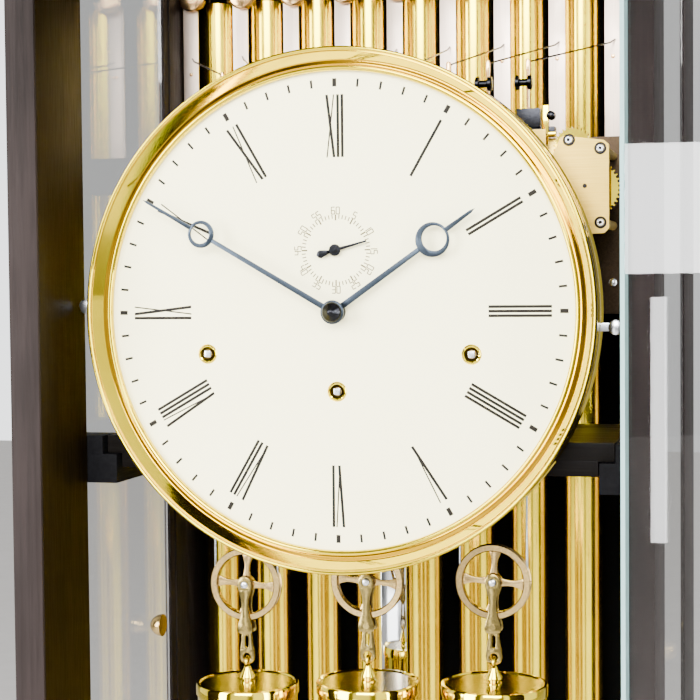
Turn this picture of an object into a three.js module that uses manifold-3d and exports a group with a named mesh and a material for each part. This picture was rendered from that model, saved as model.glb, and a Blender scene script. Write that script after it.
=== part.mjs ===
// Weight-driven longcase clock with a round dial, three cable weights,
// a flat-rod pendulum and a nine-tube chime, in a wood and glass case.
// Millimetres, +Z up, +Y towards the back of the case.
// The origin is the centre of the case's footprint, on the floor.

import * as THREE from 'three';
import { mergeVertices } from 'three/addons/utils/BufferGeometryUtils.js';
import Module from 'manifold-3d';

const wasm = await Module();
wasm.setup();

// ---- Driving dimensions -------------------------------------------------

const TRACK_RADIUS = 140;            // minute track of the dial
const DIAL_Y = -130;                 // dial face, from the case's centre
const DIAL_Z = 1620;                 // dial centre above the floor
const GAP = 0.3;                     // clearance between touching pieces

const CASE_HALF_WIDTH = 198;
const CASE_FRONT = -175;             // front face of the stiles
const CASE_BACK = 175;
const CAP_FRONT = -185;              // plinth and cap stand proud of the stiles
const CASE_HEIGHT = 1960;
const PLINTH_HEIGHT = 120;
const CAP_HEIGHT = 40;
const STILE_WIDTH = 20;
const STILE_DEPTH = 70;
const REAR_BOARD_THICKNESS = 8;
const SETBACK = 0.5;                 // uprights stand this far inside the plinth and cap
const REAR_BOARD_FRONT = 73;
const SIDE_GLASS = { inner: 6, outer: 2 };     // its faces, inside the case's outer width
const RAIL_END = 20;                 // seat rails reach this far behind the rear boards' front
const RAIL_SHELF = { length: 25, height: 12 };
const BACK_PANEL_FRONT = 164;

const DOOR_THICKNESS = 5;
const DOOR_WIDTH = 366;
const DOOR_PIVOT_X = 181;
const DOOR_PIVOT_Y = -178.5;
const DOOR_EDGE = 2;                 // glass beyond the pivot line
const DOOR_OPEN = THREE.MathUtils.degToRad(150);

// Depths and heights below are measured from the dial centre.
const SEAT = { halfWidth: 166, lowerHalf: 156, front: 31, back: 168, top: -81, lip: -92.7, bottom: -102 };
const RAIL = { inner: 157.2, top: -93, bottom: -112 };
const PLATE = { front: 50, back: 118, thickness: 3, halfWidth: 122, top: 112, bottom: -80.7 };
const PLATE_CORNERS = [[-112, -66], [112, -66], [-112, 60], [112, 60]];
const PLATE_PILLAR_RADIUS = 4;
const EAR_BOTTOM = -4;               // the back plate's ear behind the chime gears

const ARBOR_X = 84;                  // outer winding arbors, either side
const OUTER_ARBOR_Z = -26;
const CENTRE_ARBOR_Z = -49;
const LINE_Y = 70;                   // plane of the drums, lines and weights
const LINE_OFFSET = 22.4;            // line centre from the pulley's axle
const LINE_RADIUS = 0.9;
const PULLEY_RADIUS = 24.4;
const PULLEY_Z = { left: -183.4, center: -178.3, right: -175.5 };
const WEIGHT_RADIUS = 34.5;
const WEIGHT_DROP = 66;               // weight's cap below its pulley's axle
const WEIGHT_LENGTH = 215;

const PENDULUM_Y = 144;
const SUSPENSION_Z = 60;
const BOB_Z = -900;
const BOB_RADIUS = 105;

const TUBE_COUNT = 9;
const TUBE_PITCH = 40.6;
const TUBE_RADIUS = 14;
const TUBE_WALL = 2;
const TUBE_Y = 260;
const TUBE_TOP = 236;
const TUBE_SHIFT = -3.5;
const LONGEST_TUBE = 1300;
const TUBE_RATIO = 0.955;            // each tube against the longer one beside it

const HAMMER_SHIFT = -19;
const HAMMER_HEAD_SHIFT = 3;         // head centre from the middle of its bar
const HAMMER_Y = 239;
const HAMMER_PIVOT_Z = 114;
const HAMMER_TOP = 249;
const HAMMER_HEAD_Z = 238;
const HAMMER_HEAD_RADIUS = 10.5;
const HAMMER_HALF_WIDTH = 6;
const RACK = { beamBottom: 270, beamTop: 282, beamFront: 246, back: 274, railFront: 222, railBottom: 88 };

const DRUM = { radius: 21, flange: 26, front: 54, back: 94, flangeThickness: 3, arborRadius: 2.8 };
const CENTRE_WHEEL = { radius: 30, front: 104, back: 106.5, arborRadius: 2.2, holeRadius: 7, holeCircle: 17 };
const SECONDS_Z = 37.8;
const ESCAPE = { teeth: 30, root: 14.5, tip: 17, lean: 0.16, front: 100, back: 102, arborRadius: 1.2 };
const PALLET_Z = 60;
const DRUM_AXIS_Z = 92;
const PIN_BARREL = { radius: 14, half: 110, arborHalf: 116.7, y: 85 };

const GEAR_MODULE = 0.9;
const DRIVE_GEAR = { x: 149.8, z: 74.9, teeth: 38 };
const IDLER_GEAR = { x: 138, z: 101.4, teeth: 26 };
const GEAR_FACE = { front: 56, back: 60 };
const SIDE_PLATE = { front: 49, back: 52, right: 161, top: 108, bottom: 46 };
const PIVOT_DEPTH = 1.5;              // chime arbors enter the side plate from behind
const SIDE_PILLARS = [[155.8, 99.1], [155.8, 53.5], [134.5, 52.5]];

const SELECTORS = [
  { name: 'chime_selector_lever', side: 1, z: -10, reach: 169 },
  { name: 'strike_silence_lever', side: -1, z: 4, reach: 171 },
];

const TURN = 2 * Math.PI;

// ---- Solids ------------------------------------------------------------------

function toSolid(geometry) {
  const bare = geometry.index ? geometry.toNonIndexed() : geometry.clone();
  bare.deleteAttribute('normal');
  bare.deleteAttribute('uv');
  const merged = mergeVertices(bare, 1e-4);
  const vertProperties = new Float32Array(merged.attributes.position.array);
  const triVerts = new Uint32Array(merged.index.array);
  const solid = new wasm.Manifold(new wasm.Mesh({ numProp: 3, vertProperties, triVerts }));
  if (solid.volume() > 0) {
    return solid;
  }
  // A profile listed the other way round comes out inside out, so its faces are turned over.
  return new wasm.Manifold(new wasm.Mesh({ numProp: 3, vertProperties, triVerts: triVerts.reverse() }));
}

function toGeometry(solid) {
  const mesh = solid.getMesh();
  const geometry = new THREE.BufferGeometry();
  geometry.setAttribute('position', new THREE.BufferAttribute(new Float32Array(mesh.vertProperties), 3));
  geometry.setIndex(new THREE.BufferAttribute(new Uint32Array(mesh.triVerts), 1));
  return geometry;
}

function join(solids) {
  return solids.reduce((whole, solid) => whole.add(solid));
}

function cut(solid, tools) {
  return tools.reduce((rest, tool) => rest.subtract(tool), solid);
}

function block(x0, x1, y0, y1, z0, z1) {
  const geometry = new THREE.BoxGeometry(x1 - x0, y1 - y0, z1 - z0);
  geometry.translate((x0 + x1) / 2, (y0 + y1) / 2, (z0 + z1) / 2);
  return toSolid(geometry);
}

function rodX(radius, x0, x1, y, z, sides = 16) {
  const geometry = new THREE.CylinderGeometry(radius, radius, x1 - x0, sides);
  geometry.rotateZ(Math.PI / 2);
  geometry.translate((x0 + x1) / 2, y, z);
  return toSolid(geometry);
}

function rodY(radius, y0, y1, x = 0, z = 0, sides = 16) {
  const geometry = new THREE.CylinderGeometry(radius, radius, y1 - y0, sides);
  geometry.translate(x, (y0 + y1) / 2, z);
  return toSolid(geometry);
}

function rodZ(radius, z0, z1, x, y, sides = 16) {
  const geometry = new THREE.CylinderGeometry(radius, radius, z1 - z0, sides);
  geometry.rotateX(Math.PI / 2);
  geometry.translate(x, y, (z0 + z1) / 2);
  return toSolid(geometry);
}

// A flat plate in the XZ plane, between two depths.
function plate(points, y0, y1) {
  const outline = points.map(([x, z]) => new THREE.Vector2(x, z));
  const geometry = new THREE.ExtrudeGeometry(new THREE.Shape(outline), { depth: y1 - y0, bevelEnabled: false });
  geometry.rotateX(Math.PI / 2);
  geometry.translate(0, y1, 0);
  return toSolid(geometry);
}

// A body of revolution about the Y axis; the profile is [radius, depth] pairs.
function turnedY(profile, sides) {
  const points = profile.map(([radius, depth]) => new THREE.Vector2(radius, depth));
  return toSolid(new THREE.LatheGeometry(points, sides));
}

// A body of revolution about a vertical axis; the profile is [radius, height] pairs.
function turnedZ(profile, sides, x, y) {
  const points = profile.map(([radius, height]) => new THREE.Vector2(radius, height));
  const geometry = new THREE.LatheGeometry(points, sides);
  geometry.rotateX(Math.PI / 2);
  geometry.translate(x, y, 0);
  return toSolid(geometry);
}

function toothedOutline(teeth, root, tip, x, z, turn = 0) {
  const points = [];
  const pitch = TURN / teeth;
  const corners = [[-0.25, root], [-0.11, tip], [0.11, tip], [0.25, root]];
  for (let tooth = 0; tooth < teeth; tooth += 1) {
    for (const [share, radius] of corners) {
      const angle = (tooth + share) * pitch + turn;
      points.push([x + radius * Math.cos(angle), z + radius * Math.sin(angle)]);
    }
  }
  return points;
}

// ---- Materials and the scene graph ------------------------------------------------

const FINISH = {
  wood: { color: 0x3a322e, roughness: 0.55, metalness: 0 },
  black: { color: 0x0c0b0b, roughness: 0.8, metalness: 0 },
  glass: { color: 0xa6c4c0, roughness: 0.05, metalness: 0 },
  dial: { color: 0xf3f0e5, roughness: 0.6, metalness: 0 },
  brass: { color: 0xdcb14a, roughness: 0.15, metalness: 1 },
  satinBrass: { color: 0xc9ab78, roughness: 0.35, metalness: 1 },
  steel: { color: 0xb9bcc0, roughness: 0.3, metalness: 1 },
  bluedSteel: { color: 0x66737f, roughness: 0.35, metalness: 0.8 },
  blackSteel: { color: 0x15161a, roughness: 0.3, metalness: 0.6 },
  aluminium: { color: 0xd7cdc8, roughness: 0.45, metalness: 0.7 },
};

const clock = new THREE.Group();

// Everything carried by the case is placed from the dial centre.
const works = new THREE.Group();
works.position.set(0, DIAL_Y, DIAL_Z);
clock.add(works);

function place(parent, name, solid, finish) {
  const mesh = new THREE.Mesh(toGeometry(solid), new THREE.MeshStandardMaterial(FINISH[finish]));
  mesh.name = name;
  parent.add(mesh);
  return mesh;
}

// ---- Case ------------------------------------------------------------------------

function mirroredBlocks(x0, x1, y0, y1, z0, z1) {
  return [block(x0, x1, y0, y1, z0, z1), block(-x1, -x0, y0, y1, z0, z1)];
}

function buildCase() {
  const w = CASE_HALF_WIDTH;
  const capBottom = CASE_HEIGHT - CAP_HEIGHT;
  const stileBack = CASE_FRONT + STILE_DEPTH;
  const sideOuter = w - SETBACK;
  const boardInner = w - REAR_BOARD_THICKNESS;
  const railBottom = DIAL_Z + RAIL.bottom;
  const railTop = DIAL_Z + RAIL.top;
  const glassInner = w - SIDE_GLASS.inner;
  const railOuter = glassInner - GAP;
  const uprightFoot = PLINTH_HEIGHT - 1;
  const uprightTop = capBottom + 1;
  const carcass = join([
    block(-w, w, CAP_FRONT, CASE_BACK, 0, PLINTH_HEIGHT),
    block(-w, w, CAP_FRONT, CASE_BACK, capBottom, CASE_HEIGHT),
    ...mirroredBlocks(w - STILE_WIDTH, sideOuter, CASE_FRONT, stileBack, uprightFoot, uprightTop),
    ...mirroredBlocks(boardInner, sideOuter, REAR_BOARD_FRONT, CASE_BACK - SETBACK, uprightFoot, uprightTop),
    ...mirroredBlocks(RAIL.inner, railOuter, stileBack - 1, REAR_BOARD_FRONT + RAIL_END, railBottom, railTop),
    ...mirroredBlocks(SEAT.halfWidth + 1, railOuter, stileBack - 1, stileBack + RAIL_SHELF.length,
      railTop - 1, railTop + RAIL_SHELF.height),
  ]);
  place(clock, 'case_carcass', carcass, 'wood');

  const innerZ0 = PLINTH_HEIGHT + GAP;
  const innerZ1 = capBottom - GAP;
  const panelHalf = boardInner - GAP;
  const panel = block(-panelHalf, panelHalf, BACK_PANEL_FRONT, CASE_BACK, innerZ0, innerZ1);
  place(clock, 'back_panel', panel, 'black');

  const glassOuter = w - SIDE_GLASS.outer;
  const glassBack = REAR_BOARD_FRONT - GAP;
  const sides = mirroredBlocks(glassInner, glassOuter, stileBack + GAP, glassBack, innerZ0, innerZ1);
  place(clock, 'side_glass_right', sides[0], 'glass');
  place(clock, 'side_glass_left', sides[1], 'glass');
}

function buildDoor() {
  const door = new THREE.Group();
  door.position.set(DOOR_PIVOT_X, DOOR_PIVOT_Y, 0);
  door.rotation.z = DOOR_OPEN;
  clock.add(door);

  const half = DOOR_THICKNESS / 2;
  const freeEdge = DOOR_EDGE - DOOR_WIDTH;
  const top = CASE_HEIGHT - CAP_HEIGHT - 3;
  place(door, 'door_glass', block(freeEdge, DOOR_EDGE, -half, half, PLINTH_HEIGHT + 3, top), 'glass');

  const knob = turnedY([[0, 0], [5, 0], [5, -6], [11, -12], [12, -16], [9, -20], [0, -20]], 20);
  place(door, 'door_knob', knob.translate([freeEdge + 20, -half - GAP, DIAL_Z - 480]), 'satinBrass');
}

// ---- Seatboard and movement -----------------------------------------------------------

const DRUMS = [
  ['left', -ARBOR_X, OUTER_ARBOR_Z],
  ['center', 0, CENTRE_ARBOR_Z],
  ['right', ARBOR_X, OUTER_ARBOR_Z],
];

function buildSeatboard() {
  const board = join([
    block(-SEAT.halfWidth, SEAT.halfWidth, SEAT.front, SEAT.back, SEAT.lip, SEAT.top),
    block(-SEAT.lowerHalf, SEAT.lowerHalf, SEAT.front, SEAT.back, SEAT.bottom, SEAT.lip + 1),
  ]);
  const lineHoles = DRUMS.map(([, x]) => rodZ(5, SEAT.bottom - 1, SEAT.top + 1, x - LINE_OFFSET, LINE_Y));
  const pendulumSlot = block(-22, 22, PENDULUM_Y - 10, SEAT.back + 1, SEAT.bottom - 1, SEAT.top + 1);
  place(works, 'seatboard', cut(board, [...lineHoles, pendulumSlot]), 'wood');
}

function buildPlates() {
  const { front, back, thickness, halfWidth, top, bottom } = PLATE;
  const frontPlate = cut(block(-halfWidth, halfWidth, front, front + thickness, bottom, top), [
    rodY(6, front - 1, front + 4),
    rodY(2.5, front - 1, front + 4, 0, SECONDS_Z),
    ...DRUMS.map(([, x, z]) => rodY(4, front - 1, front + 4, x, z)),
  ]);
  place(works, 'front_plate', frontPlate, 'brass');

  const pillarStart = front + thickness + GAP;
  const lugInner = PIN_BARREL.arborHalf + GAP;
  const backPlate = join([
    block(-halfWidth, halfWidth, back, back + thickness, bottom, top),
    block(halfWidth - 1, SIDE_PLATE.right, back, back + thickness, EAR_BOTTOM, top),
    ...PLATE_CORNERS.map(([x, z]) => rodY(PLATE_PILLAR_RADIUS, pillarStart, back + 1, x, z, 12)),
    block(-8, 8, back + 1, PENDULUM_Y + 6, PALLET_Z + 4, PALLET_Z + 12),
    ...mirroredBlocks(lugInner, halfWidth - 1, PIN_BARREL.y - 9, back + 1, DRUM_AXIS_Z - 9, DRUM_AXIS_Z + 9),
  ]);
  place(works, 'back_plate', cut(backPlate, [rodY(3.5, back - 1, back + 4, 0, PALLET_Z)]), 'brass');

  const { front: sideFront, back: sideBack, right, bottom: low } = SIDE_PLATE;
  const outline = [[124, 90], [131, 106], [134, 107.5], [158, 104], [right, 101.5], [right, low + 4],
    [right - 3, low + 1], [133, low], [124, low + 10]];
  const sidePlate = join([
    plate(outline, sideFront, sideBack),
    ...SIDE_PILLARS.map(([x, z]) => rodY(3, sideBack - 1, back - GAP, x, z, 12)),
  ]);
  const pivotHoles = [DRIVE_GEAR, IDLER_GEAR].map(({ x, z }) => (
    rodY(2.3, sideBack - PIVOT_DEPTH - GAP, sideBack + 1, x, z, 12)));
  place(works, 'chime_side_plate', cut(sidePlate, pivotHoles), 'satinBrass');
}

function buildWindingDrums() {
  for (const [side, x, z] of DRUMS) {
    const { radius, flange, front, back, flangeThickness, arborRadius } = DRUM;
    const drum = join([
      rodY(arborRadius, 1, PLATE.back - GAP, x, z, 12),
      rodY(radius, front, back, x, z, 20),
      rodY(flange, front, front + flangeThickness, x, z, 20),
      rodY(flange, back - flangeThickness, back, x, z, 20),
    ]);
    place(works, `winding_drum_${side}`, drum, 'satinBrass');
  }
}

function buildGoingTrain() {
  const { radius, front, back, arborRadius, holeRadius, holeCircle } = CENTRE_WHEEL;
  const rim = rodY(radius, front, back, 0, 0, 32);
  const wheel = cut(rim, [0, 1, 2, 3, 4].map((spoke) => {
    const angle = (spoke + 0.5) * TURN / 5;
    const x = holeCircle * Math.cos(angle);
    return rodY(holeRadius, front - 1, back + 1, x, holeCircle * Math.sin(angle), 8);
  }));
  place(works, 'center_wheel', wheel.add(rodY(arborRadius, -9.8, PLATE.back - GAP, 0, 0, 12)), 'brass');

  const ratchet = [];
  for (let tooth = 0; tooth < ESCAPE.teeth; tooth += 1) {
    const start = tooth * TURN / ESCAPE.teeth;
    const end = start + ESCAPE.lean;
    ratchet.push([ESCAPE.root * Math.cos(start), SECONDS_Z + ESCAPE.root * Math.sin(start)]);
    ratchet.push([ESCAPE.tip * Math.cos(end), SECONDS_Z + ESCAPE.tip * Math.sin(end)]);
  }
  const escapeArbor = rodY(ESCAPE.arborRadius, -2, PLATE.back - GAP, 0, SECONDS_Z, 10);
  place(works, 'escape_wheel', plate(ratchet, ESCAPE.front, ESCAPE.back).add(escapeArbor), 'brass');

  const anchor = join([
    plate([[-14, 51.5], [-11, 60], [0, 66], [11, 60], [14, 51.5],
      [12.5, 51], [7, 57], [0, 59], [-7, 57], [-12.5, 51]], 99, 103),
    rodY(2.4, 96, 132, 0, PALLET_Z, 12),
    block(-2.5, 2.5, 127, 130, -12, PALLET_Z + 2),
    rodY(1.8, 128, 148, 0, -8, 10),
  ]);
  place(works, 'pallet_anchor', anchor, 'steel');
}

// A toothed wheel on its own arbor, between the side plate and the back plate.
function chimeGear({ x, z, teeth }, turn) {
  const root = GEAR_MODULE * (teeth / 2 - 1);
  const tip = GEAR_MODULE * (teeth / 2 + 0.7);
  const wheel = plate(toothedOutline(teeth, root, tip, x, z, turn), GEAR_FACE.front, GEAR_FACE.back);
  return wheel.add(rodY(2, SIDE_PLATE.back - PIVOT_DEPTH, PLATE.back - GAP, x, z, 12));
}

function buildChimeTrain() {
  place(works, 'chime_drive_gear', chimeGear(DRIVE_GEAR, 0), 'brass');

  // The idler is turned so that one of its gaps faces a tooth of the drive gear.
  const toIdler = Math.atan2(IDLER_GEAR.z - DRIVE_GEAR.z, IDLER_GEAR.x - DRIVE_GEAR.x);
  const drivePhase = toIdler * DRIVE_GEAR.teeth / TURN;
  const offset = drivePhase - Math.round(drivePhase);
  const idlerTurn = toIdler + Math.PI + (0.5 + offset) * TURN / IDLER_GEAR.teeth;
  place(works, 'chime_idler_gear', chimeGear(IDLER_GEAR, idlerTurn), 'brass');

  const pins = [];
  for (let row = 0; row < TUBE_COUNT; row += 1) {
    const angle = row * TURN / TUBE_COUNT;
    const x = (row - (TUBE_COUNT - 1) / 2) * 24;
    const pin = rodZ(1.3, PIN_BARREL.radius - 1, PIN_BARREL.radius + 4, 0, 0, 6);
    pins.push(pin.rotate([angle * 360 / TURN, 0, 0]).translate([x, PIN_BARREL.y, DRUM_AXIS_Z]));
  }
  const drum = join([
    rodX(PIN_BARREL.radius, -PIN_BARREL.half, PIN_BARREL.half, PIN_BARREL.y, DRUM_AXIS_Z, 20),
    rodX(3, -PIN_BARREL.arborHalf, PIN_BARREL.arborHalf, PIN_BARREL.y, DRUM_AXIS_Z, 12),
    ...pins,
  ]);
  place(works, 'chime_pin_drum', drum, 'satinBrass');
}

// ---- Dial, bezel and hands ---------------------------------------------------------------

function buildDial() {
  const feet = [[-104, 78], [104, 78], [-104, -70], [104, -70]];
  const disc = join([
    rodY(TRACK_RADIUS + 11, 0, 2, 0, 0, 48),
    ...feet.map(([x, z]) => rodY(3, 1, PLATE.front - GAP, x, z, 10)),
  ]);
  const holes = [
    rodY(6, -1, 3),
    rodY(2, -1, 3, 0, SECONDS_Z, 12),
    ...DRUMS.map(([, x, z]) => rodY(4.9, -1, 3, x, z, 20)),
  ];
  place(works, 'dial_plate', cut(disc, holes), 'dial');

  const inner = TRACK_RADIUS + 7;
  const wall = TRACK_RADIUS + 17;
  const outer = TRACK_RADIUS + 20.7;
  const profile = [
    [inner, -GAP], [inner, -5], [inner + 3.8, -4.2], [outer - 1.7, -11.2],
    [outer, -11], [outer, 21], [wall, 21], [wall, -GAP], [inner, -GAP],
  ];
  const slots = SELECTORS.map(({ side, z }) => (side > 0
    ? block(140, 170, 8.5, 13.5, z - 9.5, z + 9.5)
    : block(-170, -140, 8.5, 13.5, z - 9.5, z + 9.5)));
  place(works, 'dial_bezel', cut(turnedY(profile, 48), slots), 'brass');
}

function buildSelectorLevers() {
  for (const { name, side, z, reach } of SELECTORS) {
    const ends = [side * 100, side * reach].sort((a, b) => a - b);
    const bar = block(ends[0], ends[1], 10, 11.5, z - 2.5, z + 2.5);
    const lever = join([
      bar,
      rodY(5, 10, 11.5, side * 100, z),
      rodY(4.5, 9.4, 12.1, side * reach, z),
    ]);
    place(works, name, lever, 'steel');
  }
}

// A hand along +Z with a pierced ring, made before it is turned to its hour.
function pierceHand({ length, ring, ringRadius, holeRadius, holeShift, rootWidth, tipWidth, y0, y1 }) {
  const blade = plate([
    [-rootWidth / 2, 0], [rootWidth / 2, 0], [rootWidth / 2, ring],
    [tipWidth / 2, length - 4], [0, length], [-tipWidth / 2, length - 4], [-rootWidth / 2, ring],
  ], y0, y1);
  const disc = rodY(ringRadius, y0, y1, 0, ring, 20);
  const hole = rodY(holeRadius, y0 - 1, y1 + 1, 0, ring + holeShift, 16);
  return blade.add(disc).subtract(hole);
}

function turnHand(solid, degrees) {
  return solid.rotate([0, degrees, 0]);
}

function buildHands() {
  const minute = pierceHand({
    length: TRACK_RADIUS + 1.4, ring: 97.3, ringRadius: 8.5, holeRadius: 6.1, holeShift: 0.6,
    rootWidth: 3.4, tipWidth: 1.8, y0: -9.5, y1: -8.5,
  });
  const minuteHand = cut(minute.add(rodY(7.3, -9.5, -7.5, 0, 0, 24)), [rodY(2.6, -12, 0, 0, 0, 12)]);
  place(works, 'minute_hand', turnHand(minuteHand, 300), 'bluedSteel');

  const hour = pierceHand({
    length: TRACK_RADIUS - 33, ring: 75.3, ringRadius: 10.5, holeRadius: 7.7, holeShift: 1.2,
    rootWidth: 3.8, tipWidth: 2.2, y0: -6, y1: -5,
  });
  const pipe = rodY(4.4, -6, 40, 0, 0, 16);
  const hourHand = cut(join([hour, rodY(7.5, -6, -4.6, 0, 0, 24), pipe]), [rodY(2.7, -12, 42, 0, 0, 12)]);
  place(works, 'hour_hand', turnHand(hourHand, 55), 'bluedSteel');

  const second = join([
    plate([[-1.1, -8], [1.1, -8], [0.5, 20.3], [-0.5, 20.3]], -3.1, -2.3),
    plate([[-2.6, -9.5], [0, -12], [2.6, -9.5], [0, -5]], -3.1, -2.3),
    rodY(3.6, -3.1, -2.3, 0, 0, 20),
  ]);
  place(works, 'second_hand', turnHand(second, 75).translate([0, 0, SECONDS_Z]), 'blackSteel');

  const nut = turnedY([[0, -14.5], [2.2, -14], [5.4, -11.6], [6.2, -10.1], [0, -10.1]], 24);
  place(works, 'hand_nut', nut, 'blackSteel');
}

// ---- Weights, pulleys and lines -----------------------------------------------------------

function buildWeight(side, x) {
  const top = PULLEY_Z[side] - WEIGHT_DROP;
  const bottom = top - WEIGHT_LENGTH;
  const r = WEIGHT_RADIUS;
  const profile = [
    [0, bottom - 10], [4, bottom - 10], [4, bottom], [r, bottom + 1], [r, top],
    [6, top], [5, top + 4], [2.6, top + 11], [0, top + 11.5],
  ];
  place(works, `weight_${side}`, turnedZ(profile, 24, x, LINE_Y), 'brass');
}

function buildPulley(side, x) {
  const y0 = LINE_Y - 3;
  const y1 = LINE_Y + 3;
  const groove = LINE_OFFSET - LINE_RADIUS - 1.2;
  const rim = turnedY([
    [19, y0], [PULLEY_RADIUS, y0], [groove, y0 + 2],
    [groove, y1 - 2], [PULLEY_RADIUS, y1], [19, y1], [19, y0],
  ], 24);
  const spokes = join([
    block(-19.4, 19.4, LINE_Y - 1.2, LINE_Y + 1.2, -1.8, 1.8),
    block(-1.8, 1.8, LINE_Y - 1.2, LINE_Y + 1.2, -19.4, 19.4),
    rodY(5, LINE_Y - 2.4, LINE_Y + 2.4),
  ]);
  const pulley = cut(rim.add(spokes), [rodY(3, y0 - 1, y1 + 1)]);
  place(works, `pulley_${side}`, pulley.translate([x, 0, PULLEY_Z[side]]), 'satinBrass');
}

function buildStrap(side, x) {
  const cheek = [[-3.2, 4], [3.2, 4], [5.2, 0], [2.6, -10], [2.8, -20], [5.4, -28], [3.4, -32], [-3.4, -32],
    [-5.4, -28], [-2.8, -20], [-2.6, -10], [-5.2, 0]];
  const link = [[-3.2, -30], [3.2, -30], [5, -48], [3.4, -53.5], [-3.4, -53.5], [-5, -48]];
  const strap = join([
    plate(cheek, LINE_Y - 4.7, LINE_Y - 3.4),
    plate(cheek, LINE_Y + 3.4, LINE_Y + 4.7),
    rodY(2.6, LINE_Y - 5.4, LINE_Y + 5.4, 0, 0, 12),
    rodY(2.2, LINE_Y - 4.7, LINE_Y + 4.7, 0, -29, 12),
    plate(link, LINE_Y - 1.2, LINE_Y + 1.2),
  ]);
  const slot = join([
    block(-1.3, 1.3, LINE_Y - 5, LINE_Y + 5, -43, -36),
    rodY(2.6, LINE_Y - 5, LINE_Y + 5, 0, -49, 12),
  ]);
  place(works, `pulley_strap_${side}`, strap.subtract(slot).translate([x, 0, PULLEY_Z[side]]), 'satinBrass');
}

class LinePath extends THREE.Curve {
  constructor(x, drumZ, pulleyZ) {
    super();
    this.x = x;
    this.pulleyZ = pulleyZ;
    this.down = drumZ - pulleyZ;
    this.round = Math.PI * LINE_OFFSET;
    this.up = SEAT.bottom - GAP - pulleyZ;
  }

  getPoint(t, target = new THREE.Vector3()) {
    const s = t * (this.down + this.round + this.up);
    if (s < this.down) {
      return target.set(this.x - LINE_OFFSET, LINE_Y, this.pulleyZ + this.down - s);
    }
    if (s < this.down + this.round) {
      const angle = Math.PI + (s - this.down) / LINE_OFFSET;
      const x = this.x + LINE_OFFSET * Math.cos(angle);
      return target.set(x, LINE_Y, this.pulleyZ + LINE_OFFSET * Math.sin(angle));
    }
    return target.set(this.x + LINE_OFFSET, LINE_Y, this.pulleyZ + s - this.down - this.round);
  }
}

function buildLine(side, x, drumZ) {
  const section = new THREE.Shape();
  section.absarc(0, 0, LINE_RADIUS, 0, TURN);
  const geometry = new THREE.ExtrudeGeometry(section, {
    steps: 24, curveSegments: 3, bevelEnabled: false, extrudePath: new LinePath(x, drumZ, PULLEY_Z[side]),
  });
  place(works, `cable_${side}`, toSolid(geometry), 'steel');
}

// ---- Pendulum ------------------------------------------------------------------------------

function buildPendulum() {
  const rod = cut(block(-9, 9, PENDULUM_Y - 2, PENDULUM_Y + 2, BOB_Z - 140, SUSPENSION_Z - 2), [
    block(-2.4, 2.4, PENDULUM_Y - 10, PENDULUM_Y + 10, -13, -3),
  ]);
  place(works, 'pendulum_rod', rod, 'steel');

  const lens = turnedY([
    [0, -15], [55, -12], [92, -5], [BOB_RADIUS, -1.5],
    [BOB_RADIUS, 1.5], [92, 5], [55, 12], [0, 15],
  ], 24);
  const rodChannel = block(-9.3, 9.3, -2.3, 20, -BOB_RADIUS - 5, BOB_RADIUS + 5);
  const bob = lens.subtract(rodChannel).translate([0, PENDULUM_Y, BOB_Z]);
  place(works, 'pendulum_bob', bob, 'brass');
}

// ---- Tubular chime ---------------------------------------------------------------------------

function buildTubes() {
  for (let n = 0; n < TUBE_COUNT; n += 1) {
    const x = (n - 4) * TUBE_PITCH + TUBE_SHIFT;
    const bottom = TUBE_TOP - LONGEST_TUBE * TUBE_RATIO ** n;
    const inner = TUBE_RADIUS - TUBE_WALL;
    const profile = [
      [0, TUBE_TOP - 3], [inner, TUBE_TOP - 3], [inner, bottom],
      [TUBE_RADIUS, bottom], [TUBE_RADIUS, TUBE_TOP], [0, TUBE_TOP],
    ];
    place(works, `chime_tube_${n + 1}`, turnedZ(profile, 16, x, TUBE_Y), 'brass');
  }
}

function buildTubeRack() {
  const { beamBottom, beamTop, beamFront, back, railFront, railBottom } = RACK;
  const side = CASE_HALF_WIDTH - REAR_BOARD_THICKNESS - GAP;
  const rack = join([
    block(-side, side, beamFront, back, beamBottom, beamTop),
    ...mirroredBlocks(side - 5, side, back - 10, back, railBottom, beamTop),
    ...mirroredBlocks(side - 5, side, railFront, back, railBottom, railBottom + 14),
    block(-side, side, railFront, railFront + 6, railBottom, railBottom + 28),
  ]);
  place(works, 'tube_rack', rack, 'black');
}

function buildHammers() {
  for (let n = 0; n < TUBE_COUNT; n += 1) {
    const x = (n - 4) * TUBE_PITCH + HAMMER_SHIFT;
    const half = HAMMER_HALF_WIDTH;
    const hammer = join([
      block(x - half, x + half, HAMMER_Y - 1, HAMMER_Y + 1, HAMMER_PIVOT_Z - 8, HAMMER_TOP),
      rodX(4, x - half, x + half, HAMMER_Y, HAMMER_PIVOT_Z, 8),
      rodY(HAMMER_HEAD_RADIUS, HAMMER_Y - 9, HAMMER_Y + 1.5, x + HAMMER_HEAD_SHIFT, HAMMER_HEAD_Z, 16),
    ]);
    place(works, `hammer_${n + 1}`, hammer, 'aluminium');
  }
}

buildCase();
buildDoor();
buildSeatboard();
buildPlates();
buildWindingDrums();
buildGoingTrain();
buildChimeTrain();
buildDial();
buildSelectorLevers();
buildHands();
for (const [side, x, drumZ] of DRUMS) {
  buildWeight(side, x);
  buildPulley(side, x);
  buildStrap(side, x);
  buildLine(side, x, drumZ);
}
buildPendulum();
buildTubes();
buildTubeRack();
buildHammers();

export default clock;
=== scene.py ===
"""Looks of the longcase clock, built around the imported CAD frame. Lengths in the helpers are metres."""

import math

import bmesh
import bpy
from mathutils import Matrix, Vector


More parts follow.
